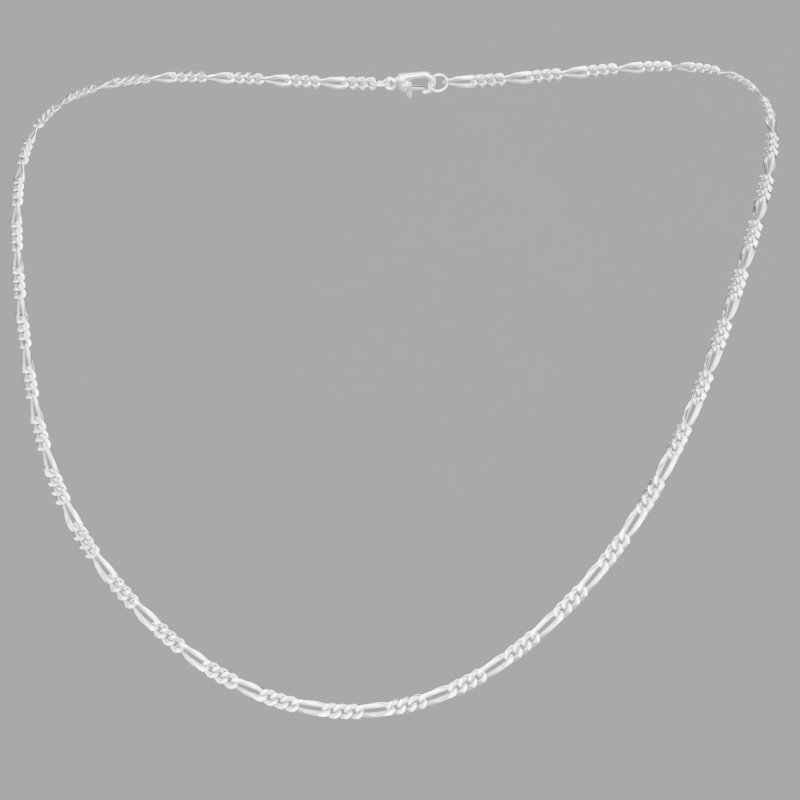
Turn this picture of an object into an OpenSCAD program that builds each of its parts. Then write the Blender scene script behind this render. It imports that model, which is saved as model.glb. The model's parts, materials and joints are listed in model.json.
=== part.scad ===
// Figaro chain necklace, worn closed around a neck. Millimetres, +Z up, the front of the wearer faces -Y.
// The origin is on the neck's axis, level with the top of the shoulders.
// Every link is a ring of twisted, flattened wire that hangs in its neighbours. Three short links and one
// long link repeat. One node holds one repeat, and each of its links is a solid of its own.
// A lobster clasp, a jump ring and an end ring close the necklace at the nape.

/* [Chain links] */
// distance between the two contact points of a short link
short_pitch = 2.03; // [1.7:0.01:2.4]
// distance between the two contact points of a long link
long_pitch = 5.91; // [4.5:0.01:7.5]
// outside width of a short link
short_width = 3.0; // [2.6:0.05:3.6]
// outside width of a long link
long_width = 2.75; // [2.4:0.05:3.4]
// wire thickness where two links hang in each other
wire = 0.78; // [0.6:0.02:0.84]
// wire width along the flattened sides of a link
side_wire = 1.0; // [0.7:0.02:1.2]
// thickness of the chain after it is rolled flat
chain_thickness = 1.4; // [1.2:0.05:1.8]
// how far the wire at a link's end is turned out of the flat of the chain
end_tilt = 45; // [42:1:52]
// play between two wires that hang in each other
play = 0.1; // [0.06:0.01:0.15]

/* [Clasp] */
// distance inside the claw from the wall of its eye to the far wall of its hook
claw_reach = 9.2; // [8:0.1:12]
// wire radius of the claw's hook and spine
hook_r = 0.65; // [0.55:0.05:0.8]
// inner radius of the claw's hook
hook_bend = 1.45; // [1.2:0.05:1.8]
// thickness of the claw's body
claw_thickness = 2.2; // [2:0.1:2.6]
// inner radius of the claw's eye
eye_hole_r = 0.65; // [0.55:0.05:0.8]
// wire radius of the claw's eye
eye_wire_r = 0.5; // [0.4:0.05:0.6]
// radius of the pin that the trigger turns on
pin_r = 0.3; // [0.2:0.02:0.4]
// thickness of the trigger
trigger_thickness = 1.0; // [0.8:0.1:1.2]
// wire radius of the jump ring between the chain and the claw
jump_wire_r = 0.4; // [0.3:0.02:0.5]
// distance between the two contact points of the jump ring
jump_pitch = 2.9; // [2.6:0.1:3.4]
// wire radius of the ring that the claw closes on
end_wire_r = 0.42; // [0.35:0.01:0.5]
// distance between the two contact points of the end ring
end_pitch = 3.2; // [3:0.1:3.8]
// how far the two rings lean, so that each crosses its link's tilted end squarely
ring_lean = 20; // [14:1:26]

/* [Drape] */
// how far the chain is slid round the neck, towards the wearer's left
slide = 1.9; // [-6:0.1:6]

/* [Hidden] */
repeats = 41;
silver = [0.86, 0.87, 0.89];
steel = [0.62, 0.64, 0.66];

// Half of the closed line that the chain follows, from the front centre to the nape. The other half is its
// mirror image. The line is a cubic B-spline drawn through these hand-set poles and scaled to the chain.
half_route = [
    [0, -45, -121], [21, -45, -116], [38, -45, -103], [52, -42, -87], [61, -33, -70], [67, -20, -54],
    [72, -7, -37], [76, 8, -21], [76, 24, -8], [66, 39, -1], [48, 48, 0], [24, 52, -2], [0, 53, -3]
];
// The outward direction of the skin under each pole.
half_skin = [
    [0, -1, 0.1], [0.1, -1, 0.1], [0.2, -1, 0.1], [0.3, -0.9, 0.2], [0.5, -0.8, 0.3], [0.6, -0.7, 0.4],
    [0.6, -0.6, 0.5], [0.6, -0.4, 0.6], [0.6, -0.1, 0.8], [0.4, 0.2, 0.9], [0.3, 0.5, 0.8], [0.1, 0.7, 0.6],
    [0, 0.9, 0.4]
];

period = 3 * short_pitch + long_pitch;
clasp_span = jump_pitch + claw_reach + end_pitch;
loop_length = repeats * period + clasp_span;
chain_start = slide - repeats * period / 2;
last_pole = len(half_route) - 1;
poles = concat(half_route, [for (i = [last_pole - 1:-1:1]) mirrored(half_route[i])]);
skins = concat(half_skin, [for (i = [last_pole - 1:-1:1]) mirrored(half_skin[i])]);
steps = 16;
line = [for (i = [0:len(poles) - 1]) for (k = [0:steps - 1]) spline(poles, i, k / steps)];
skin = [for (i = [0:len(poles) - 1]) for (k = [0:steps - 1]) spline(skins, i, k / steps)];
lengths = running(line);
fit_scale = loop_length / lengths[len(line)];

function mirrored(p) = [-p.x, p.y, p.z];
function unit(v) = v / norm(v);
function spline(p, i, t) =
    let (n = len(p), a = p[(i + n - 1) % n], b = p[i], c = p[(i + 1) % n], d = p[(i + 2) % n])
    (pow(1 - t, 3) * a + (3 * pow(t, 3) - 6 * t * t + 4) * b
        + (3 * t + 3 * t * t - 3 * pow(t, 3) + 1) * c + pow(t, 3) * d) / 6;
// Length along the closed line at each of its points, and back at the first point again.
function running(p) = [for (i = 0, sum = 0; i <= len(p); sum = sum + norm(p[(i + 1) % len(p)] - p[i % len(p)]),
    i = i + 1) sum];
function along(values, s, axis) =
    lookup(s, [for (i = [0:len(line)]) [lengths[i], values[i % len(line)][axis]]]);
function wrap(s) = s - loop_length * floor(s / loop_length);
// The point and the outward direction at a length s from the front centre, towards the wearer's left.
function at(s) = fit_scale * [for (axis = [0:2]) along(line, wrap(s) / fit_scale, axis)];
function out(s) = [for (axis = [0:2]) along(skin, wrap(s) / fit_scale, axis)];

// Places its children midway between two points of the line: X runs from the first to the second, and Z
// points away from the skin.
module between(s0, s1) {
    from = at(s0);
    to = at(s1);
    x = unit(to - from);
    skin_way = out((s0 + s1) / 2);
    z = unit(skin_way - (skin_way * x) * x);
    y = cross(z, x);
    mid = (from + to) / 2;
    multmatrix([[x.x, y.x, z.x, mid.x], [x.y, y.y, z.y, mid.y], [x.z, y.z, z.z, mid.z]]) children();
}

// How fast the twist of a link's wire turns along its end bend, so that it runs on smoothly into the
// straight side. Each pass comes closer to the answer.
function twist_rate(ratio, passes) = passes == 0 ? 1.5 : (180 - atan(ratio * twist_rate(ratio, passes - 1))) / 90;

bend_angles = [-90, -45, 0, 45, 90];
wire_corners = [30, 90, 150, 210, 270, 330];

// One corner of the wire's section at an angle round the end bend, on the +X end of a link.
function wire_corner(straight, bend, angle, corner) =
    let (rate = twist_rate(straight / bend, 8),
        rise = -bend * tan(end_tilt) / rate * sin(rate * angle),
        slope = -tan(end_tilt) * cos(rate * angle),
        outward = [cos(angle), sin(angle), 0],
        forward = unit([-sin(angle), cos(angle), slope]),
        up = cross(outward, forward),
        half_width = (wire + (side_wire - wire) * abs(sin(angle))) / 2,
        p = [straight + bend * cos(angle), bend * sin(angle), rise]
            + outward * half_width * cos(corner) + up * wire / 2 * sin(corner))
    [p.x, p.y, max(-chain_thickness / 2, min(chain_thickness / 2, p.z))];

// A link: two bends joined by straight sides. Half a turn about Z takes one bend to the other, with the
// twist mirrored, because half a turn about X, Y or Z leaves a curb link as it was.
module link(pitch, width) {
    bend = (width - side_wire) / 2;
    straight = (pitch + play) / 2 + wire / 2 - bend;
    ring = [for (angle = bend_angles) [for (c = wire_corners) wire_corner(straight, bend, angle, c)]];
    far_ring = [for (r = ring) [for (p = r) [-p.x, -p.y, p.z]]];
    rings = concat(ring, far_ring);
    sides = len(wire_corners);
    count = len(rings);
    points = [for (r = rings) for (p = r) p];
    faces = [for (i = [0:count - 1]) for (k = [0:sides - 1])
        let (a = i * sides + k, b = i * sides + (k + 1) % sides,
            c = ((i + 1) % count) * sides + (k + 1) % sides, d = ((i + 1) % count) * sides + k)
        for (face = [[a, c, b], [a, d, c]]) face];
    polyhedron(points, faces);
}

// One repeat: three short links, then a long one, towards the wearer's left.
module chain_repeat(number) {
    start = chain_start + (number - 1) * period;
    color(silver) {
        for (i = [0:2])
            between(start + i * short_pitch, start + (i + 1) * short_pitch) link(short_pitch, short_width);
        between(start + 3 * short_pitch, start + period) link(long_pitch, long_width);
    }
}

// A plain round ring that stands nearly on edge, so that it passes through the parts at its two ends.
module upright_ring(pitch, wire_r) {
    rotate([90 - ring_lean, 0, 0])
        rotate_extrude($fn = 48)
            translate([pitch / 2 + play / 2 + wire_r, 0])
                circle(r = wire_r, $fn = 24);
}

module jump_ring() {
    color(silver) between(chain_start, chain_start - jump_pitch) upright_ring(jump_pitch, jump_wire_r);
}

module end_ring() {
    far = chain_start - clasp_span;
    color(silver) between(far, far + end_pitch) upright_ring(end_pitch, end_wire_r);
}

// The claw's own frame: the origin is at the contact in its eye, X runs to the contact in its hook, the
// mouth is on the +Y side, and Z is the way its flat side faces.
module in_claw() {
    from = chain_start - jump_pitch;
    between(from, from - claw_reach) translate([-claw_reach / 2, 0, 0]) children();
}

hook_mid = hook_bend + hook_r;
hook_x = claw_reach + play / 2 - hook_bend;
eye_mid = eye_hole_r + eye_wire_r;
eye_x = eye_hole_r - play / 2;
pivot = [3.9, 1.1];
hub_r = 0.95;
gate_top = hook_bend - 0.1;
gate_thick = 0.75;
gate_end = hook_x - 0.1;
slot_gap = 0.1;
slot_width = trigger_thickness + 2 * slot_gap;
pin_fit = 0.06;

module claw_outline() {
    circle_at(pivot, 1.3);
    circle_at([3.3, -0.6], 1.5);
    polygon([[1.3, -0.6], [1.3, 0.6], [3.2, 2.15], [4.6, 1.9], [4.4, -1.5], [5.4, -1.7], [5.6, -2.7],
        [4.2, -2.6], [2.6, -1.8]]);
}

module circle_at(p, r) {
    translate(p) circle(r = r, $fn = 48);
}

module claw_body() {
    color(silver) in_claw() {
        difference() {
            union() {
                translate([0, 0, -claw_thickness / 2]) linear_extrude(claw_thickness) claw_outline();
                translate([eye_x, 0, 0]) rotate_extrude($fn = 48) translate([eye_mid, 0])
                    circle(r = eye_wire_r, $fn = 24);
            }
            translate([1.9, -0.9, -slot_width / 2]) cube([5, 6, slot_width]);
            translate([pivot.x, pivot.y, -claw_thickness]) cylinder(h = 2 * claw_thickness, r = pin_r + 0.01, $fn = 24);
            translate([eye_x, 0, -claw_thickness]) cylinder(h = 2 * claw_thickness, r = eye_hole_r, $fn = 48);
        }
        translate([5, -hook_mid, 0]) rotate([0, 90, 0]) cylinder(h = hook_x - 5, r = hook_r, $fn = 32);
        translate([hook_x, 0, 0]) rotate([0, 0, -90]) rotate_extrude(angle = 185, $fn = 64)
            translate([hook_mid, 0]) circle(r = hook_r, $fn = 32);
    }
}

module claw_trigger() {
    color(silver) in_claw() difference() {
        translate([0, 0, -trigger_thickness / 2]) linear_extrude(trigger_thickness) {
            circle_at(pivot, hub_r);
            polygon([[pivot.x, gate_top - gate_thick], [gate_end, gate_top - gate_thick], [gate_end, gate_top],
                [5.3, 1.9], [4.9, 3.2], [4.2, 3.2], [3.6, 1.9]]);
        }
        translate([pivot.x, pivot.y, -claw_thickness])
            cylinder(h = 2 * claw_thickness, r = pin_r + pin_fit, $fn = 24);
    }
}

module claw_pin() {
    color(steel) in_claw() translate([pivot.x, pivot.y, -claw_thickness / 2])
        cylinder(h = claw_thickness, r = pin_r, $fn = 24);
}

module claw_spring() {
    color(steel) in_claw() translate([0, 0, -0.4]) linear_extrude(0.8) {
        difference() {
            circle_at([2.5, -0.3], 0.5);
            circle_at([2.5, -0.3], 0.38);
            translate([2.5, -0.3]) square([1, 1]);
        }
    }
}

for (i = [1:repeats])
    chain_repeat(i);
jump_ring();
claw_body();
claw_trigger();
claw_pin();
claw_spring();
end_ring();
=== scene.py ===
# %% [markdown]
# # A worn Figaro chain in polished silver
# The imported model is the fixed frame: it says where every link, ring and clasp part is. Each CAD node is
# then replaced by a finer piece that is modelled here at the same place and rides on the same body. The
# necklace is shown as it hangs when it is worn, with nothing inside it.

# %% Load the frame
import json
import math

import bpy
import numpy as np
from mathutils import Matrix, Vector


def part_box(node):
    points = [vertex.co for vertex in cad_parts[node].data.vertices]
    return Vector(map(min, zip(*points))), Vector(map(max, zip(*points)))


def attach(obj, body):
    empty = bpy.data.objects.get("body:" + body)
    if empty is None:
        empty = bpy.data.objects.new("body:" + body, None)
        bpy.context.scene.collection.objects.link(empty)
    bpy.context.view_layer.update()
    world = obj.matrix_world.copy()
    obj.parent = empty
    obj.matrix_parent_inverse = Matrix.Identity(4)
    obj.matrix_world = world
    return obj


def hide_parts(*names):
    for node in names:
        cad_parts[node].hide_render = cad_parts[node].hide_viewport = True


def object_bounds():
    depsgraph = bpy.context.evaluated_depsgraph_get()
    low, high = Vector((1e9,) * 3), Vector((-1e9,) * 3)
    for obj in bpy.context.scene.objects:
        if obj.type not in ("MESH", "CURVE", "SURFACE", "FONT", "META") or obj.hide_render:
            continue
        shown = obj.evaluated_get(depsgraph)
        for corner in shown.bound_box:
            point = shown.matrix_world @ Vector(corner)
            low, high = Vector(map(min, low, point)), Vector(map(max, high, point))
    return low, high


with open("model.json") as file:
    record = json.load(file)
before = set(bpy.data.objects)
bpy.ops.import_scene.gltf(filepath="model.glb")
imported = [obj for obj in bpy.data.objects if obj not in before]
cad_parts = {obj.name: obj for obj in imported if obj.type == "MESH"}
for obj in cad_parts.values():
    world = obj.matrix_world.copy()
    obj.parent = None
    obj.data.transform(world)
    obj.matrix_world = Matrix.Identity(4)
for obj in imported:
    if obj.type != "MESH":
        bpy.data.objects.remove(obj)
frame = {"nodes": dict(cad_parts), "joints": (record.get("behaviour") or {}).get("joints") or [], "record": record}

cad_low, cad_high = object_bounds()
MM = 0.001

# %% [markdown]
# ## Where the viewer stands
# A necklace is usually shown through a long lens from in front of the chest, a little to one side and
# slightly above. A long lens from 60 cm keeps the two sides of the drape the same size.

# %% Camera
VIEW_AZIMUTH = math.radians(9.19)
VIEW_ELEVATION = math.radians(4.69)
VIEW_ROLL = math.radians(-1.03)
VIEW_DISTANCE = 0.6
VIEW_LENS = 143.4
VIEW_AIM = Vector((0.0065, -0.020, -0.0631))

bpy.ops.object.select_all(action="DESELECT")
bpy.ops.object.camera_add()
camera = bpy.context.object
camera.name = "camera"
camera.data.sensor_width = 36
camera.data.lens = VIEW_LENS
away = Vector((math.sin(VIEW_AZIMUTH) * math.cos(VIEW_ELEVATION),
               -math.cos(VIEW_AZIMUTH) * math.cos(VIEW_ELEVATION), math.sin(VIEW_ELEVATION)))
camera.location = VIEW_AIM + away * VIEW_DISTANCE
camera.rotation_mode = "QUATERNION"
level = (-away).to_track_quat("-Z", "Y")
camera.rotation_quaternion = level @ Matrix.Rotation(VIEW_ROLL, 3, "Z").to_quaternion()
camera.data.clip_start, camera.data.clip_end = 0.01, 60
bpy.context.scene.camera = camera
print("camera", [round(v, 3) for v in camera.location], "lens", round(camera.data.lens, 1))

# %% [markdown]
# ## Small helpers
# Every operator acts on what is selected, so each step starts with nothing selected. Vertices are picked in
# code, by where they are, and edit mode then shapes them. A finished piece is moved into its mesh, so that
# its object sits at the origin.

# %% Selecting and finishing helpers
WELD = 0.002 * MM             # vertices that are closer than this become one


def alone(obj):
    """Makes obj the only selected and the active object."""
    if bpy.context.object and bpy.context.object.mode != "OBJECT":
        bpy.ops.object.mode_set(mode="OBJECT")
    bpy.ops.object.select_all(action="DESELECT")
    obj.select_set(True)
    bpy.context.view_layer.objects.active = obj
    return obj


def pick(obj, wanted):
    """Selects the vertices whose place passes the test, and goes into edit mode."""
    alone(obj)
    bpy.ops.object.mode_set(mode="EDIT")
    bpy.ops.mesh.select_mode(type="VERT")
    bpy.ops.mesh.select_all(action="DESELECT")
    bpy.ops.object.mode_set(mode="OBJECT")
    for vertex in obj.data.vertices:
        vertex.select = bool(wanted(vertex.co))
    bpy.ops.object.mode_set(mode="EDIT")


def leave():
    """Goes back to object mode."""
    bpy.ops.object.mode_set(mode="OBJECT")


def use_modifier(obj, kind, **values):
    """Adds a modifier with these values and applies it to the mesh."""
    alone(obj)
    modifier = obj.modifiers.new(kind.lower(), kind)
    for name, value in values.items():
        setattr(modifier, name, value)
    bpy.ops.object.modifier_apply(modifier=modifier.name)


def settle(obj, place=None):
    """Puts the object's place, and then the given one, into its mesh."""
    obj.data.transform(obj.matrix_world)
    obj.matrix_world = Matrix.Identity(4)
    if place is not None:
        obj.data.transform(place)
    obj.data.update()
    return obj


def outward(obj):
    """Merges double vertices and points every face outwards."""
    pick(obj, lambda co: True)
    bpy.ops.mesh.remove_doubles(threshold=WELD)
    bpy.ops.mesh.normals_make_consistent(inside=False)
    leave()


def smooth(obj, degrees=40):
    """Shades obj smooth, except across edges sharper than this."""
    alone(obj)
    bpy.ops.object.shade_smooth_by_angle(angle=math.radians(degrees))
    return obj


# %% [markdown]
# ## The two links
# A curb link starts as a plain oval ring. It is twisted, so that its two ends turn opposite ways and it
# lies flat in its neighbours, and the chain is then rolled, which presses bright flats on both faces. The
# same order is followed here: a torus is drawn out across and along, its wire is pressed a little flat,
# Simple Deform twists it, and Bisect cuts the two faces flat. Each kind of link is made once and copied.

# %% Link sizes
LINK_PLAY = 0.1 * MM          # room between two wires that hang in each other
WIRE_FLAT = 0.27 * MM         # half of the wire's thickness where it is pressed
CHAIN_FLAT = 0.7 * MM         # half of the chain's thickness between its two rolled faces
EDGE = 0.03 * MM              # how far the edges of the flats are rounded
EDGE_ANGLE = math.radians(32) # only edges sharper than this are rounded
CUT_EXACT = 0.0001 * MM       # a cut leaves points further away than this alone
TWIST_WAY = -1                # the way all the links of this chain are twisted
BEND_STEPS = 10
SECTION_CORNERS = 12
LINKS = {
    "short": dict(pitch=2.03 * MM, width=3.0 * MM, wire=0.84 * MM, side=1.04 * MM,
                  end_turn=math.radians(65), cuts=2),
    "long": dict(pitch=5.91 * MM, width=2.75 * MM, wire=0.82 * MM, side=1.02 * MM,
                 end_turn=math.radians(55), cuts=6),
}


# %% An oval ring from a torus
def oval_ring(name, pitch, width, wire, side, cuts):
    """A flat oval of round wire, which is `wire` thick at its two ends and `side` wide along its sides."""
    spread = side / wire
    bend = (width - side) / 2 / spread
    tip = (pitch + LINK_PLAY) / 2 + wire / 2
    half_step = math.pi / BEND_STEPS / 2
    bpy.ops.object.select_all(action="DESELECT")
    bpy.ops.mesh.primitive_torus_add(major_segments=2 * BEND_STEPS, minor_segments=SECTION_CORNERS,
                                     major_radius=bend, minor_radius=wire / 2, rotation=(0, 0, half_step))
    ring = settle(bpy.context.object)
    ring.name = name
    pick(ring, lambda co: True)
    bpy.ops.transform.resize(value=(1, spread, 1), center_override=(0, 0, 0))
    for end in (1, -1):
        pick(ring, lambda co: co.x * end > 0)
        bpy.ops.transform.translate(value=(end * (tip - bend), 0, 0))
    for cut in range(cuts):
        x = (tip - bend) * (2 * (cut + 0.5) / cuts - 1)
        pick(ring, lambda co: True)
        bpy.ops.mesh.bisect(plane_co=(x, 0, 0), plane_no=(1, 0, 0), threshold=CUT_EXACT)
    for face in (1, -1):
        pick(ring, lambda co: co.z * face > WIRE_FLAT * 0.99)
        bpy.ops.transform.resize(value=(1, 1, 0), center_override=(0, 0, face * WIRE_FLAT))
    leave()
    return ring


# %% Twist it, then cut both faces flat
def curb_link(name, pitch, width, wire, side, end_turn, cuts):
    """A finished link about its own centre: X runs along the chain and Z through it."""
    link = oval_ring(name, pitch, width, wire, side, cuts)
    use_modifier(link, "SIMPLE_DEFORM", deform_method="TWIST", deform_axis="X",
                 angle=TWIST_WAY * 2 * end_turn)
    for face in (1, -1):
        pick(link, lambda co: True)
        bpy.ops.mesh.bisect(plane_co=(0, 0, face * CHAIN_FLAT), plane_no=(0, 0, face), use_fill=True,
                            clear_outer=True, threshold=CUT_EXACT)
    leave()
    outward(link)
    use_modifier(link, "BEVEL", width=EDGE, segments=1, limit_method="ANGLE", angle_limit=EDGE_ANGLE)
    return smooth(link)


# %% Make one of each
masters = {kind: curb_link(kind, **sizes) for kind, sizes in LINKS.items()}
for kind, master in masters.items():
    print(kind, "link", len(master.data.polygons), "faces", [round(v / MM, 2) for v in master.dimensions])

# %% [markdown]
# ## Painted shade where the links hang in each other
# The inside of a link's loop, where its neighbours cross it and shade it, gets painted grey shade in its colour,
# mottled by noise, and is also rougher. That place is known while a link still lies in its own axes, so each point
# of the master stores how deep it sits, and every copy carries the value along for its material.

# %% Store the depth of each point
RECESS_EDGE, RECESS_BLEND = 0.72, 3         # share of the half size where the painted shade ends, and how fast
RECESS_STRAIGHT, RECESS_BEND = 0.45, 1.6    # share of the length that is straight, and how the ends close in
RECESS_TOP = 0.35                           # how much painted shade is left at the level of the flats


def mark_recess(obj, half_length, half_width):
    """How much painted shade each point gets: 1 deep inside the loop, less towards the rolled faces, and 0 on the
    outside.
    """
    mesh = obj.data
    depth = mesh.attributes.new("recess", "FLOAT", "POINT")
    for vertex in mesh.vertices:
        x, y = abs(vertex.co.x) / half_length, abs(vertex.co.y) / half_width
        out = math.hypot(max(0.0, x - RECESS_STRAIGHT) * RECESS_BEND, y)
        inner = max(0.0, min(1.0, (RECESS_EDGE - out) * RECESS_BLEND))
        low = 1 - min(1.0, abs(vertex.co.z) / CHAIN_FLAT)
        depth.data[vertex.index].value = inner * (RECESS_TOP + (1 - RECESS_TOP) * low)


for kind, master in masters.items():
    mark_recess(master, master.dimensions.x / 2, master.dimensions.y / 2)
    values = [d.value for d in master.data.attributes["recess"].data]
    print(kind, "mean recess", round(sum(values) / len(values), 2))

# %% [markdown]
# ## Every link in its place
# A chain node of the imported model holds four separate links. A copy of it is merged and split into loose
# parts, and the three principal directions of each part's points are the link's own axes: along, across and
# through the chain. A link looks the same after half a turn about any of them, so their signs don't matter.

# %% Read the places from a node
LONGER = 5 * MM               # a link longer than this is a long one
SAME_POINT = 0.001 * MM       # points of a node that are closer than this are one


def link_places(node):
    """A list of (kind, matrix), one for each link of a chain node."""
    bpy.ops.object.select_all(action="DESELECT")
    copy = node.copy()
    copy.data = node.data.copy()
    bpy.context.scene.collection.objects.link(copy)
    pick(copy, lambda co: True)
    bpy.ops.mesh.remove_doubles(threshold=SAME_POINT)
    bpy.ops.mesh.separate(type="LOOSE")
    leave()
    places = []
    for part in list(bpy.context.selected_objects):
        points = np.array([v.co for v in part.data.vertices], float)
        centre = points.mean(0)
        _, axes = np.linalg.eigh(np.cov((points - centre).T))
        along, through = Vector(axes[:, 2]), Vector(axes[:, 0])
        across = through.cross(along)
        place = Matrix((along, across, through)).transposed().to_4x4()
        place.translation = Vector(centre)
        length = np.ptp((points - centre) @ axes[:, 2])
        places.append(("long" if length > LONGER else "short", place))
        bpy.data.objects.remove(part)
    return places


# %% Copy the links and join them into one piece for each node
def join(parts, name):
    """Joins the parts into one object of this name."""
    alone(parts[0])
    for part in parts:
        part.select_set(True)
    bpy.ops.object.join()
    bpy.context.object.name = name
    return bpy.context.object


bodies = frame["record"]["behaviour"]["bodies"]
body_of = {node: body for body, nodes in bodies.items() for node in nodes}
chain_nodes = sorted(n for n in frame["nodes"] if n.startswith("chain_repeat"))
chain_pieces = []
for name in chain_nodes:
    parts = []
    for kind, place in link_places(frame["nodes"][name]):
        part = masters[kind].copy()
        part.data = masters[kind].data.copy()
        bpy.context.scene.collection.objects.link(part)
        parts.append(settle(part, place))
    chain_pieces.append((join(parts, name.replace("chain_repeat", "links")), name))
for master in masters.values():
    bpy.data.objects.remove(master)
faces = sum(len(piece.data.polygons) for piece, _ in chain_pieces)
print(len(chain_pieces), "pieces of links,", faces, "faces")

# %% [markdown]
# ## The clasp's own axes
# A lobster clasp hangs between two rings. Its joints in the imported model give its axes: X runs from the
# wall of its eye past the hook to the last link, half a degree off the line to the hook itself, Z is the way
# its flat side faces, and the mouth is on the +Y side. All its parts are modelled flat in these axes, and are
# then moved into place.

# %% Axes from the joints
joints = {joint["name"]: joint for joint in frame["joints"]}
JUMP_PITCH = 2.9 * MM         # from one contact point of the jump ring to the other
END_PITCH = 3.2 * MM          # the same for the end ring


def ring_ends(name, pitch):
    """The two contact points of a ring, in the order of its axis."""
    middle, axis = Vector(joints[name]["pos_m"]), Vector(joints[name]["axis"]).normalized()
    return middle - axis * pitch / 2, middle + axis * pitch / 2


def axes_matrix(origin, x, z_hint):
    """The place with this origin, this X axis and a Z axis as near to z_hint as it can be."""
    x = x.normalized()
    z = (z_hint - z_hint.dot(x) * x).normalized()
    matrix = Matrix((x, z.cross(x), z)).transposed().to_4x4()
    matrix.translation = origin
    return matrix


eye_contact = ring_ends("jump_ring_roll", JUMP_PITCH)[1]
last_link_contact = ring_ends("end_ring_roll", END_PITCH)[0]
face_way = -Vector(joints["trigger_hinge"]["axis"])
claw_place = axes_matrix(eye_contact, last_link_contact - eye_contact, face_way)
print("from the claw's eye to the last link", round((last_link_contact - eye_contact).length / MM, 2), "mm")

# %% [markdown]
# ## The claw
# The real one is cast in silver: a domed body, a round hook and an eye flow into each other. Simple closed
# shapes are made first: two squashed spheres for the body, a tapered arm, half a torus and a rounded tip
# for the hook, and a torus for the eye. A voxel remesh melts them into one skin and a little smoothing
# gives the soft fillets of a casting. The slot for the trigger and the hole for the pin are cut afterwards,
# so that their edges stay sharp.

# %% Claw sizes, in the clasp's own axes
HOOK_X, HOOK_Y, HOOK_R = 7.8 * MM, 2.1 * MM, 0.64 * MM     # centre and radius of the bend, and its wire
PIVOT = Vector((3.9, 1.1, 0)) * MM
CLAW_HALF = 1.09 * MM                                      # half of the body's thickness
EYE_X, EYE_MAJOR, EYE_R = 0.6 * MM, 1.15 * MM, 0.49 * MM
CHEEK, CHEEK_SIZE = (3.6, 0.35, 0), (1.75, 1.95, CLAW_HALF / MM)
HEEL, HEEL_SIZE = (3.2, -0.95, 0), (1.5, 1.45, 0.98 * CLAW_HALF / MM)
TIP_LENGTH = 0.75
ARM_MIDDLE, ARM_LENGTH, ARM_R = (5.4 * MM, -1.78 * MM, 0), 5.0 * MM, 0.84 * MM
ARM_TURN = math.radians(-7)
SKIN_STEP, MELT_ROUNDS = 0.09 * MM, 6
SLOT_LOW, SLOT_HIGH = (1.9, -0.9, -0.6), (6.9, 5.1, 0.6)
PIN_R, BODY_HOLE_R, LEVER_HOLE_R = 0.3 * MM, 0.31 * MM, 0.36 * MM


# %% Body, hook and eye
def settle_view(obj):
    """Settles obj after its place or scale was set in code."""
    bpy.context.view_layer.update()
    return settle(obj)


def ball(centre, size, segments=32):
    """A sphere squashed to these half sizes, in mm."""
    bpy.ops.object.select_all(action="DESELECT")
    bpy.ops.mesh.primitive_uv_sphere_add(segments=segments, ring_count=segments // 2, radius=1)
    squashed = bpy.context.object
    squashed.scale = Vector(size) * MM
    squashed.location = Vector(centre) * MM
    return settle_view(squashed)


def round_eye(centre, major, minor):
    """A torus about Z, around this centre."""
    bpy.ops.object.select_all(action="DESELECT")
    bpy.ops.mesh.primitive_torus_add(major_segments=48, minor_segments=20, major_radius=major,
                                     minor_radius=minor, location=centre)
    return settle(bpy.context.object)


bend = round_eye((HOOK_X, 0, 0), HOOK_Y, HOOK_R)
pick(bend, lambda co: True)
bpy.ops.mesh.bisect(plane_co=(HOOK_X, 0, 0), plane_no=(1, 0, 0), use_fill=True, clear_inner=True,
                    threshold=CUT_EXACT)
leave()
bpy.ops.object.select_all(action="DESELECT")
bpy.ops.mesh.primitive_cone_add(vertices=28, radius1=ARM_R, radius2=HOOK_R, depth=ARM_LENGTH,
                                location=ARM_MIDDLE, rotation=(0, math.pi / 2, ARM_TURN))
arm = settle(bpy.context.object)
claw_parts = [ball(CHEEK, CHEEK_SIZE), bend, arm, ball(HEEL, HEEL_SIZE),
              ball((HOOK_X / MM, HOOK_Y / MM, 0), (TIP_LENGTH, HOOK_R / MM, HOOK_R / MM), 24),
              round_eye((EYE_X, 0, 0), EYE_MAJOR, EYE_R)]


# %% Melt them together
claw = join(claw_parts, "claw_casting")
use_modifier(claw, "REMESH", mode="VOXEL", voxel_size=SKIN_STEP)
use_modifier(claw, "SMOOTH", factor=0.5, iterations=MELT_ROUNDS)
print("claw", len(claw.data.polygons), "faces", [round(v / MM, 2) for v in claw.dimensions])


# %% Cut the slot and the pin's hole
def cut_with(obj, cutter, operation="DIFFERENCE"):
    """Cuts the cutter out of obj, or joins it to obj with UNION, and removes the cutter."""
    use_modifier(obj, "BOOLEAN", object=cutter, operation=operation, solver="EXACT")
    bpy.data.objects.remove(cutter)


def block(low, high):
    """A box between two corners, in mm."""
    bpy.ops.object.select_all(action="DESELECT")
    bpy.ops.mesh.primitive_cube_add(size=1, location=[(a + b) / 2 * MM for a, b in zip(low, high)])
    cube = bpy.context.object
    cube.scale = [(b - a) * MM for a, b in zip(low, high)]
    return settle_view(cube)


def rod(centre, radius, half, corners=32, name="rod"):
    """A cylinder along Z, this far to both sides of its centre."""
    bpy.ops.object.select_all(action="DESELECT")
    bpy.ops.mesh.primitive_cylinder_add(vertices=corners, radius=radius, depth=2 * half, location=centre)
    bpy.context.object.name = name
    return settle(bpy.context.object)


cut_with(claw, block(SLOT_LOW, SLOT_HIGH))
cut_with(claw, rod(PIVOT, BODY_HOLE_R, 2 * MM))
smooth(claw)
print("claw after cutting", len(claw.data.polygons), "faces")

# %% [markdown]
# ## The trigger, its pin and its spring
# The trigger is a flat lever: a hub on the pin, a gate that closes the mouth and a nub for the fingernail.
# It is joined from a cylinder and two shaped blocks, and its edges are rounded like tumbled metal. The pin
# is riveted, so its two ends are slightly domed. The spring is a short coil that lies free at the bottom of
# the slot, between the hub and the eye.

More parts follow.
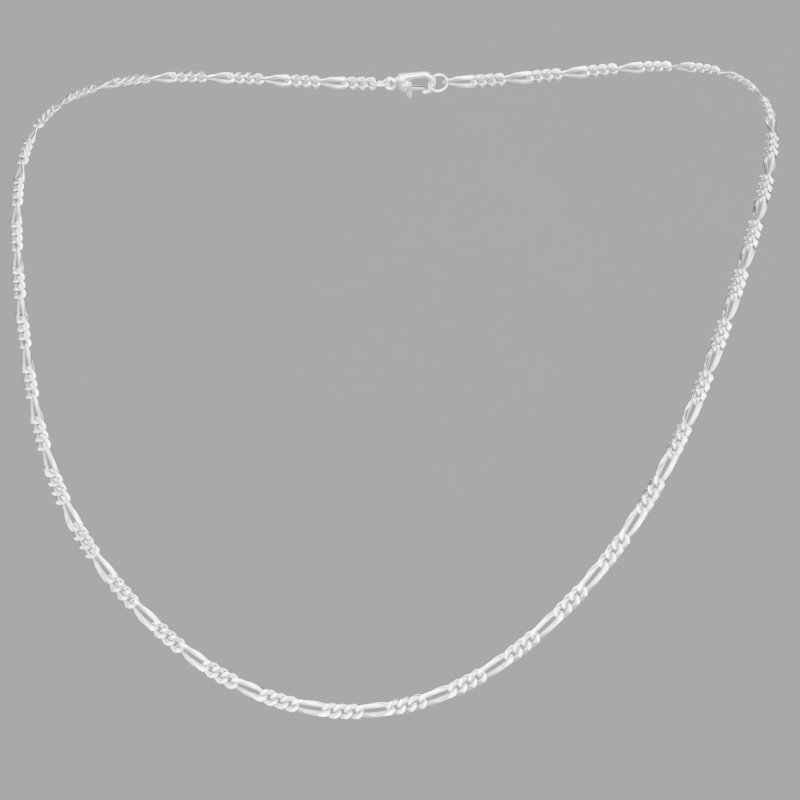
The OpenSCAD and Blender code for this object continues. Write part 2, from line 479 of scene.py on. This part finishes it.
# %% Trigger
HUB_R = 0.95 * MM
LEVER_HALF = 0.49                                # half of the lever's thickness
GATE_TOP, GATE_THICK, GATE_END = 1.35, 0.75, 7.7
GATE_TAPER = 0.2 * MM                            # how much thinner the gate is at its end
NUB_LOW, NUB_HIGH = (3.7, 1.6, -LEVER_HALF), (5.1, 3.15, LEVER_HALF)
NUB_TIP, NUB_TIP_SHARE, NUB_SLANT = (4.55 * MM, 3.15 * MM, 0), 0.55, 0.15 * MM
LEVER_EDGE, LEVER_EDGE_ANGLE = 0.12 * MM, math.radians(35)

trigger = rod(PIVOT, HUB_R, LEVER_HALF * MM, 40, "trigger_lever")
gate = block((PIVOT.x / MM, GATE_TOP - GATE_THICK, -LEVER_HALF), (GATE_END, GATE_TOP, LEVER_HALF))
pick(gate, lambda co: co.x > (PIVOT.x + GATE_END * MM) / 2 and co.y < (GATE_TOP - GATE_THICK / 2) * MM)
bpy.ops.transform.translate(value=(0, GATE_TAPER, 0))
leave()
cut_with(trigger, gate, "UNION")
nub = block(NUB_LOW, NUB_HIGH)
pick(nub, lambda co: co.y > 3 * MM)
bpy.ops.transform.resize(value=(NUB_TIP_SHARE, 1, 1), center_override=NUB_TIP)
bpy.ops.transform.translate(value=(NUB_SLANT, 0, 0))
leave()
cut_with(trigger, nub, "UNION")
cut_with(trigger, rod(PIVOT, LEVER_HOLE_R, 1 * MM))
use_modifier(trigger, "BEVEL", width=LEVER_EDGE, segments=3, limit_method="ANGLE",
             angle_limit=LEVER_EDGE_ANGLE)
smooth(trigger)
print("trigger", len(trigger.data.polygons), "faces")

# %% Pin
PIN_HALF = 1.1 * MM
DOME, DOME_SHARE = 0.06 * MM, 0.6    # height of the riveted dome, and its top as a share of the pin

pin = rod(PIVOT, PIN_R, PIN_HALF, 32, "pivot_pin")
for end in (1, -1):
    pick(pin, lambda co: co.z * end > 0)
    bpy.ops.transform.translate(value=(0, 0, -end * DOME))
    bpy.ops.mesh.extrude_region_move(TRANSFORM_OT_translate={"value": (0, 0, end * DOME)})
    bpy.ops.transform.resize(value=(DOME_SHARE, DOME_SHARE, 1), center_override=(PIVOT.x, PIVOT.y, 0))
leave()
outward(pin)
smooth(pin, 30)

# %% Spring
SPRING_MIDDLE = Vector((2.5, -0.3, 0)) * MM
SPRING_R, SPRING_WIRE_R, SPRING_HEIGHT, SPRING_TURNS = 0.42 * MM, 0.06 * MM, 0.6 * MM, 3.6

bpy.ops.object.select_all(action="DESELECT")
bpy.ops.mesh.primitive_circle_add(vertices=10, radius=SPRING_WIRE_R, rotation=(math.pi / 2, 0, 0),
                                  location=(SPRING_R, 0, -SPRING_HEIGHT / 2))
spring = settle(bpy.context.object)
spring.name = "spring_coil"
use_modifier(spring, "SCREW", axis="Z", angle=math.radians(SPRING_TURNS * 360), screw_offset=SPRING_HEIGHT,
             steps=80, render_steps=80, use_merge_vertices=False)
spring.data.transform(Matrix.Translation(SPRING_MIDDLE))
pick(spring, lambda co: False)
bpy.ops.mesh.select_non_manifold()
bpy.ops.mesh.fill()
leave()
outward(spring)
smooth(spring)
print("spring", len(spring.data.polygons), "faces", [round(v / MM, 2) for v in spring.dimensions])

# %% [markdown]
# ## The two rings
# Both are bent from round wire. The jump ring is only pressed shut, so a hairline seam shows where its ends
# meet. The end ring is soldered, and a small bead of solder thickens the wire there. Both are spun from a
# circle and stand nearly on edge. Each leans a little, the end ring more, so that it passes through the
# tilted end of its link.

# %% Ring helper
JUMP_LEAN, END_LEAN = math.radians(20), math.radians(31)
JUMP_WIRE_R, END_WIRE_R = 0.39 * MM, 0.32 * MM
SEAM = math.radians(2.5)                    # how far the jump ring's ends stay apart
SOLDER_BEAD = ((1.1, 1.05), (0.6, 1.05))    # reach as a share of the wire's radius, and how much thicker


def wire_ring(name, pitch, wire_r, open_angle, bead):
    """A ring of round wire about Y, with its seam or its bead of solder at the top."""
    middle_r = pitch / 2 + LINK_PLAY / 2 + wire_r
    bpy.ops.object.select_all(action="DESELECT")
    bpy.ops.mesh.primitive_circle_add(vertices=20, radius=wire_r, location=(0, 0, middle_r),
                                      rotation=(0, math.pi / 2, 0))
    ring = settle(bpy.context.object)
    ring.name = name
    pick(ring, lambda co: True)
    bpy.ops.mesh.spin(steps=48, angle=2 * math.pi - open_angle, center=(0, 0, 0), axis=(0, 1, 0))
    if open_angle:
        bpy.ops.mesh.select_all(action="DESELECT")
        bpy.ops.mesh.select_non_manifold()
        bpy.ops.mesh.fill_holes(sides=0)
    leave()
    outward(ring)
    for share, size in bead:
        reach = share * wire_r
        pick(ring, lambda co: co.z > 0 and abs(co.x) < reach)
        bpy.ops.transform.resize(value=(1, size, 1), center_override=(0, 0, middle_r))
        bpy.ops.transform.resize(value=(1, 1, size), center_override=(0, 0, middle_r))
    leave()
    return smooth(ring)


# %% Make and place the rings
jump_ring = wire_ring("jump_ring_wire", JUMP_PITCH, JUMP_WIRE_R, SEAM, ())
end_ring = wire_ring("end_ring_wire", END_PITCH, END_WIRE_R, 0, SOLDER_BEAD)
claw_face = claw_place.to_3x3() @ Vector((0, 0, 1))
for ring, joint, pitch, leaning in ((jump_ring, "jump_ring_roll", JUMP_PITCH, JUMP_LEAN),
                                    (end_ring, "end_ring_roll", END_PITCH, END_LEAN)):
    start, stop = ring_ends(joint, pitch)
    place = axes_matrix((start + stop) / 2, stop - start, claw_face)
    settle(ring, place @ Matrix.Rotation(-leaning, 4, "X"))
for part in (claw, trigger, pin, spring):
    settle(part, claw_place)
for node, part in (("jump_ring", jump_ring), ("end_ring", end_ring), ("claw_body", claw),
                   ("claw_trigger", trigger), ("claw_pin", pin), ("claw_spring", spring)):
    low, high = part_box(node)
    points = np.array([v.co for v in part.data.vertices])
    off = max((np.array(low) - points.min(0)).max(), (points.max(0) - np.array(high)).max())
    print(node, "stands out of its CAD box by", round(off / MM, 2), "mm")

# %% [markdown]
# ## Polished silver
# Sterling silver is almost white and reflects nearly everything. What tells it from a mirror is what hands
# and cloths leave on it: hair-fine scratches in all directions and faint cloudy patches. The links also get
# painted grey shade inside their loops, where their neighbours cross. The scratches and the cloud are node groups,
# because the links, the casting and the steel all use them with their own values.

# %% Node helpers
def node_group(name, inputs, outputs):
    """An empty node group with these sockets, and its two end nodes."""
    group = bpy.data.node_groups.new(name, "ShaderNodeTree")
    for socket, kind, value in inputs:
        made = group.interface.new_socket(socket, in_out="INPUT", socket_type=kind)
        if value is not None:
            made.default_value = value
    for socket, kind in outputs:
        group.interface.new_socket(socket, in_out="OUTPUT", socket_type=kind)
    start, end = group.nodes.new("NodeGroupInput"), group.nodes.new("NodeGroupOutput")
    return group, start, end


def add(tree, kind, links=(), **values):
    """A node with these values, and its inputs linked from the given sockets."""
    node = tree.nodes.new(kind)
    for name, value in values.items():
        setattr(node, name, value)
    for socket, source in links:
        if isinstance(source, bpy.types.NodeSocket):
            tree.links.new(source, node.inputs[socket])
        else:
            node.inputs[socket].default_value = source
    return node


# %% Fine scratches
scratches, start, end = node_group(
    "fine_scratches", [("Vector", "NodeSocketVector", None), ("Scale", "NodeSocketFloat", 900.0)],
    [("Height", "NodeSocketFloat"), ("Mask", "NodeSocketFloat")])
lines = []
for turn, stretch in (((0.3, 0.2, 0.5), (1, 14, 2)), ((1.1, -0.6, 2.0), (12, 1, 2)),
                      ((0.2, 1.3, -0.9), (2, 2, 15))):
    turned = add(scratches, "ShaderNodeMapping", [("Vector", start.outputs["Vector"])])
    turned.inputs["Rotation"].default_value = turn
    turned.inputs["Scale"].default_value = stretch
    noise = add(scratches, "ShaderNodeTexNoise", [("Vector", turned.outputs[0]), ("Detail", 2.0),
                                                  ("Scale", start.outputs["Scale"]), ("Roughness", 0.6)])
    ramp = add(scratches, "ShaderNodeMapRange", [("Value", noise.outputs[0]), ("From Min", 0.60),
                                                 ("From Max", 0.68), ("To Min", 0.0), ("To Max", 1.0)])
    lines.append(ramp.outputs[0])
both = add(scratches, "ShaderNodeMath", [(0, lines[0]), (1, lines[1])], operation="MAXIMUM")
every = add(scratches, "ShaderNodeMath", [(0, both.outputs[0]), (1, lines[2])], operation="MAXIMUM")
flipped = add(scratches, "ShaderNodeMath", [(0, 1.0), (1, every.outputs[0])], operation="SUBTRACT")
scratches.links.new(flipped.outputs[0], end.inputs["Height"])
scratches.links.new(every.outputs[0], end.inputs["Mask"])

# %% Cloudy patches
cloud, start, end = node_group(
    "polish_cloud", [("Vector", "NodeSocketVector", None), ("Scale", "NodeSocketFloat", 250.0),
                     ("Low", "NodeSocketFloat", 0.1), ("High", "NodeSocketFloat", 0.3)],
    [("Value", "NodeSocketFloat")])
patch = add(cloud, "ShaderNodeTexNoise", [("Vector", start.outputs["Vector"]), ("Detail", 4.0),
                                          ("Scale", start.outputs["Scale"]), ("Roughness", 0.55)])
levels = add(cloud, "ShaderNodeMapRange", [("Value", patch.outputs[0]), ("From Min", 0.35),
                                           ("From Max", 0.65), ("To Min", start.outputs["Low"]),
                                           ("To Max", start.outputs["High"])])
cloud.links.new(levels.outputs[0], end.inputs["Value"])


# %% One metal material
# The second scale is that of the noise which mottles the painted shade inside the links' loops.
CLOUD_SCALE, SHADE_MOTTLE_SCALE = 260.0, 1500.0
SCRATCH_ROUGH = 0.10          # how much rougher a scratch is
# The first value is how strongly the painted shade darkens the inside of the links' loops; the second, how much
# the cloud tints the casting and the steel.
PAINTED_SHADE_STRENGTH, CLOUD_FILM = 1.3, 0.8
SCRATCH_DEPTH = 0.01 * MM


def metal(name, bright, film_and_shade, rough_low, rough_high, scratch_scale, bump, has_recess):
    """Polished metal with scratches and clouds. Its darker colour is painted shade in the recesses when has_recess
    is set, or otherwise a thin cloudy film all over.
    """
    material = bpy.data.materials.new(name)
    material.use_nodes = True
    tree = material.node_tree
    shader = tree.nodes["Principled BSDF"]
    shader.inputs["Metallic"].default_value = 1.0
    where = add(tree, "ShaderNodeTexCoord").outputs["Object"]
    fine = add(tree, "ShaderNodeGroup", node_tree=scratches)
    patchy = add(tree, "ShaderNodeGroup", node_tree=cloud)
    for group, scale in ((fine, scratch_scale), (patchy, CLOUD_SCALE)):
        tree.links.new(where, group.inputs["Vector"])
        group.inputs["Scale"].default_value = scale
    patchy.inputs["Low"].default_value, patchy.inputs["High"].default_value = rough_low, rough_high
    marks = add(tree, "ShaderNodeMath", [(0, fine.outputs["Mask"]), (1, SCRATCH_ROUGH)], operation="MULTIPLY")
    rough = add(tree, "ShaderNodeMath", [(0, patchy.outputs[0]), (1, marks.outputs[0])], operation="ADD")
    tint = add(tree, "ShaderNodeMix", data_type="RGBA")
    tint.inputs[6].default_value, tint.inputs[7].default_value = (*bright, 1), (*film_and_shade, 1)
    if has_recess:
        # Painted shade: the recess value, mottled by noise, darkens the colour inside the loops, where the
        # neighbouring links cross, and also makes it rougher.
        depth = add(tree, "ShaderNodeAttribute", attribute_name="recess")
        shade_mottle = add(tree, "ShaderNodeTexNoise", [("Vector", where), ("Scale", SHADE_MOTTLE_SCALE),
                                                 ("Detail", 3.0)])
        mottled = add(tree, "ShaderNodeMath", [(0, depth.outputs["Fac"]), (1, shade_mottle.outputs[0])],
                      operation="MULTIPLY")
        film_and_shade_share = add(tree, "ShaderNodeMath", [(0, mottled.outputs[0]), (1, PAINTED_SHADE_STRENGTH)],
                         operation="MULTIPLY", use_clamp=True)
        rough = add(tree, "ShaderNodeMath", [(0, rough.outputs[0]), (1, film_and_shade_share.outputs[0])],
                    operation="ADD")
    else:
        film_and_shade_share = add(tree, "ShaderNodeMath", [(0, patchy.outputs[0]), (1, CLOUD_FILM)],
                         operation="MULTIPLY", use_clamp=True)
    tree.links.new(film_and_shade_share.outputs[0], tint.inputs[0])
    tree.links.new(tint.outputs[2], shader.inputs["Base Color"])
    tree.links.new(rough.outputs[0], shader.inputs["Roughness"])
    dents = add(tree, "ShaderNodeBump", [("Height", fine.outputs["Height"]), ("Distance", SCRATCH_DEPTH)])
    dents.inputs["Strength"].default_value = bump
    tree.links.new(dents.outputs[0], shader.inputs["Normal"])
    return material


# The links' darker colour is painted shade inside their loops; for the casting and the steel it is a thin cloudy
# film.
silver_links = metal("silver_rolled", bright=(0.965, 0.96, 0.945), film_and_shade=(0.42, 0.41, 0.40), rough_low=0.08,
                     rough_high=0.20, scratch_scale=1400.0, bump=0.12, has_recess=True)
silver_cast = metal("silver_cast", bright=(0.96, 0.955, 0.94), film_and_shade=(0.70, 0.69, 0.67), rough_low=0.10,
                    rough_high=0.24, scratch_scale=1600.0, bump=0.14, has_recess=False)
steel_drawn = metal("steel_drawn", bright=(0.62, 0.63, 0.65), film_and_shade=(0.35, 0.35, 0.36), rough_low=0.22,
                    rough_high=0.38, scratch_scale=1800.0, bump=0.45, has_recess=False)

# %% Ride, replace and finish
for piece, node in chain_pieces:
    piece.data.materials.clear()
    piece.data.materials.append(silver_links)
    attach(piece, body_of[node])
    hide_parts(node)
CLASP_PIECES = (
    (jump_ring, "jump_ring", silver_cast, "silver"), (end_ring, "end_ring", silver_cast, "silver"),
    (claw, "claw_body", silver_cast, "silver"), (trigger, "claw_trigger", silver_cast, "silver"),
    (pin, "claw_pin", steel_drawn, "steel"), (spring, "claw_spring", steel_drawn, "steel"))
for piece, node, material, slot in CLASP_PIECES:
    piece.data.materials.clear()
    piece.data.materials.append(material)
    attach(piece, body_of[node])
    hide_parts(node)
print("pieces", len(chain_pieces) + len(CLASP_PIECES))

# %% [markdown]
# ## A plain pale studio
# Silver shows what is around it. Large soft panels on all sides make it bright, and the gaps between them
# draw the thin dark lines that give each wire its shape. The panels light the metal but don't show to the
# camera.

# %% Floor and backdrop
def plain(name, grey):
    """Matt paper of this grey, very slightly uneven."""
    material = bpy.data.materials.new(name)
    material.use_nodes = True
    tree = material.node_tree
    shader = tree.nodes["Principled BSDF"]
    shader.inputs["Roughness"].default_value = 0.9
    shader.inputs["Specular IOR Level"].default_value = 0.1
    where = add(tree, "ShaderNodeTexCoord").outputs["Object"]
    grain = add(tree, "ShaderNodeTexNoise", [("Vector", where), ("Scale", 6.0), ("Detail", 3.0)])
    tone = add(tree, "ShaderNodeMapRange", [("Value", grain.outputs[0]), ("To Min", grey * 0.985),
                                            ("To Max", grey * 1.015)])
    tree.links.new(tone.outputs[0], shader.inputs["Base Color"])
    return material


FLOOR_Z = cad_low.z - 0.75    # far enough down that no panel reaches it
WALL_RADIUS, WALL_HEIGHT, CORNER = 2.1, 3.4, 0.9
PAPER_GREY = 0.40

bpy.ops.object.select_all(action="DESELECT")
bpy.ops.mesh.primitive_cylinder_add(vertices=96, radius=WALL_RADIUS, depth=WALL_HEIGHT,
                                    location=(0, 0, FLOOR_Z + WALL_HEIGHT / 2))
floor = settle(bpy.context.object)
floor.name = "studio_floor"
pick(floor, lambda co: co.z > FLOOR_Z + WALL_HEIGHT / 2)
bpy.ops.mesh.delete(type="ONLY_FACE")
pick(floor, lambda co: co.z < FLOOR_Z + WALL_HEIGHT / 2)
bpy.ops.mesh.bevel(offset=CORNER, segments=14, affect="EDGES", clamp_overlap=False)
leave()
alone(floor)
bpy.ops.object.shade_smooth()
floor.data.materials.append(plain("studio_paper", PAPER_GREY))


# %% Soft panels
CENTRE = (cad_low + cad_high) / 2
AIR_COLOUR, AIR_GLOW = (0.80, 0.82, 0.85, 1), 0.22


def panel(name, place, size, glow):
    """A soft panel of this size, which glows this much and faces the middle of the necklace."""
    bpy.ops.object.select_all(action="DESELECT")
    bpy.ops.object.light_add(type="AREA", location=place)
    light = bpy.context.object
    light.name = name
    light.data.shape = "RECTANGLE"
    light.data.size, light.data.size_y = size
    light.data.energy = glow * math.pi * size[0] * size[1]
    light.rotation_mode = "QUATERNION"
    light.rotation_quaternion = (CENTRE - Vector(place)).to_track_quat("-Z", "Y")
    light.visible_camera = False
    return light


panel("front_panel", (0.15, -1.10, 0.10), (1.7, 1.2), 8.5)
panel("left_panel", (-0.95, -0.40, 0.0), (0.8, 1.1), 4.0)
panel("right_panel", (0.95, -0.35, 0.0), (0.8, 1.1), 4.0)
panel("top_panel", (0, -0.25, 0.85), (1.3, 0.7), 5.0)
panel("low_panel", (0.05, -0.62, -0.42), (1.3, 0.4), 3.2)
panel("back_panel", (0.0, 0.95, 0.55), (0.9, 0.5), 2.0)

world = bpy.data.worlds.new("studio_air")
world.use_nodes = True
world.node_tree.nodes["Background"].inputs["Color"].default_value = AIR_COLOUR
world.node_tree.nodes["Background"].inputs["Strength"].default_value = AIR_GLOW
bpy.context.scene.world = world
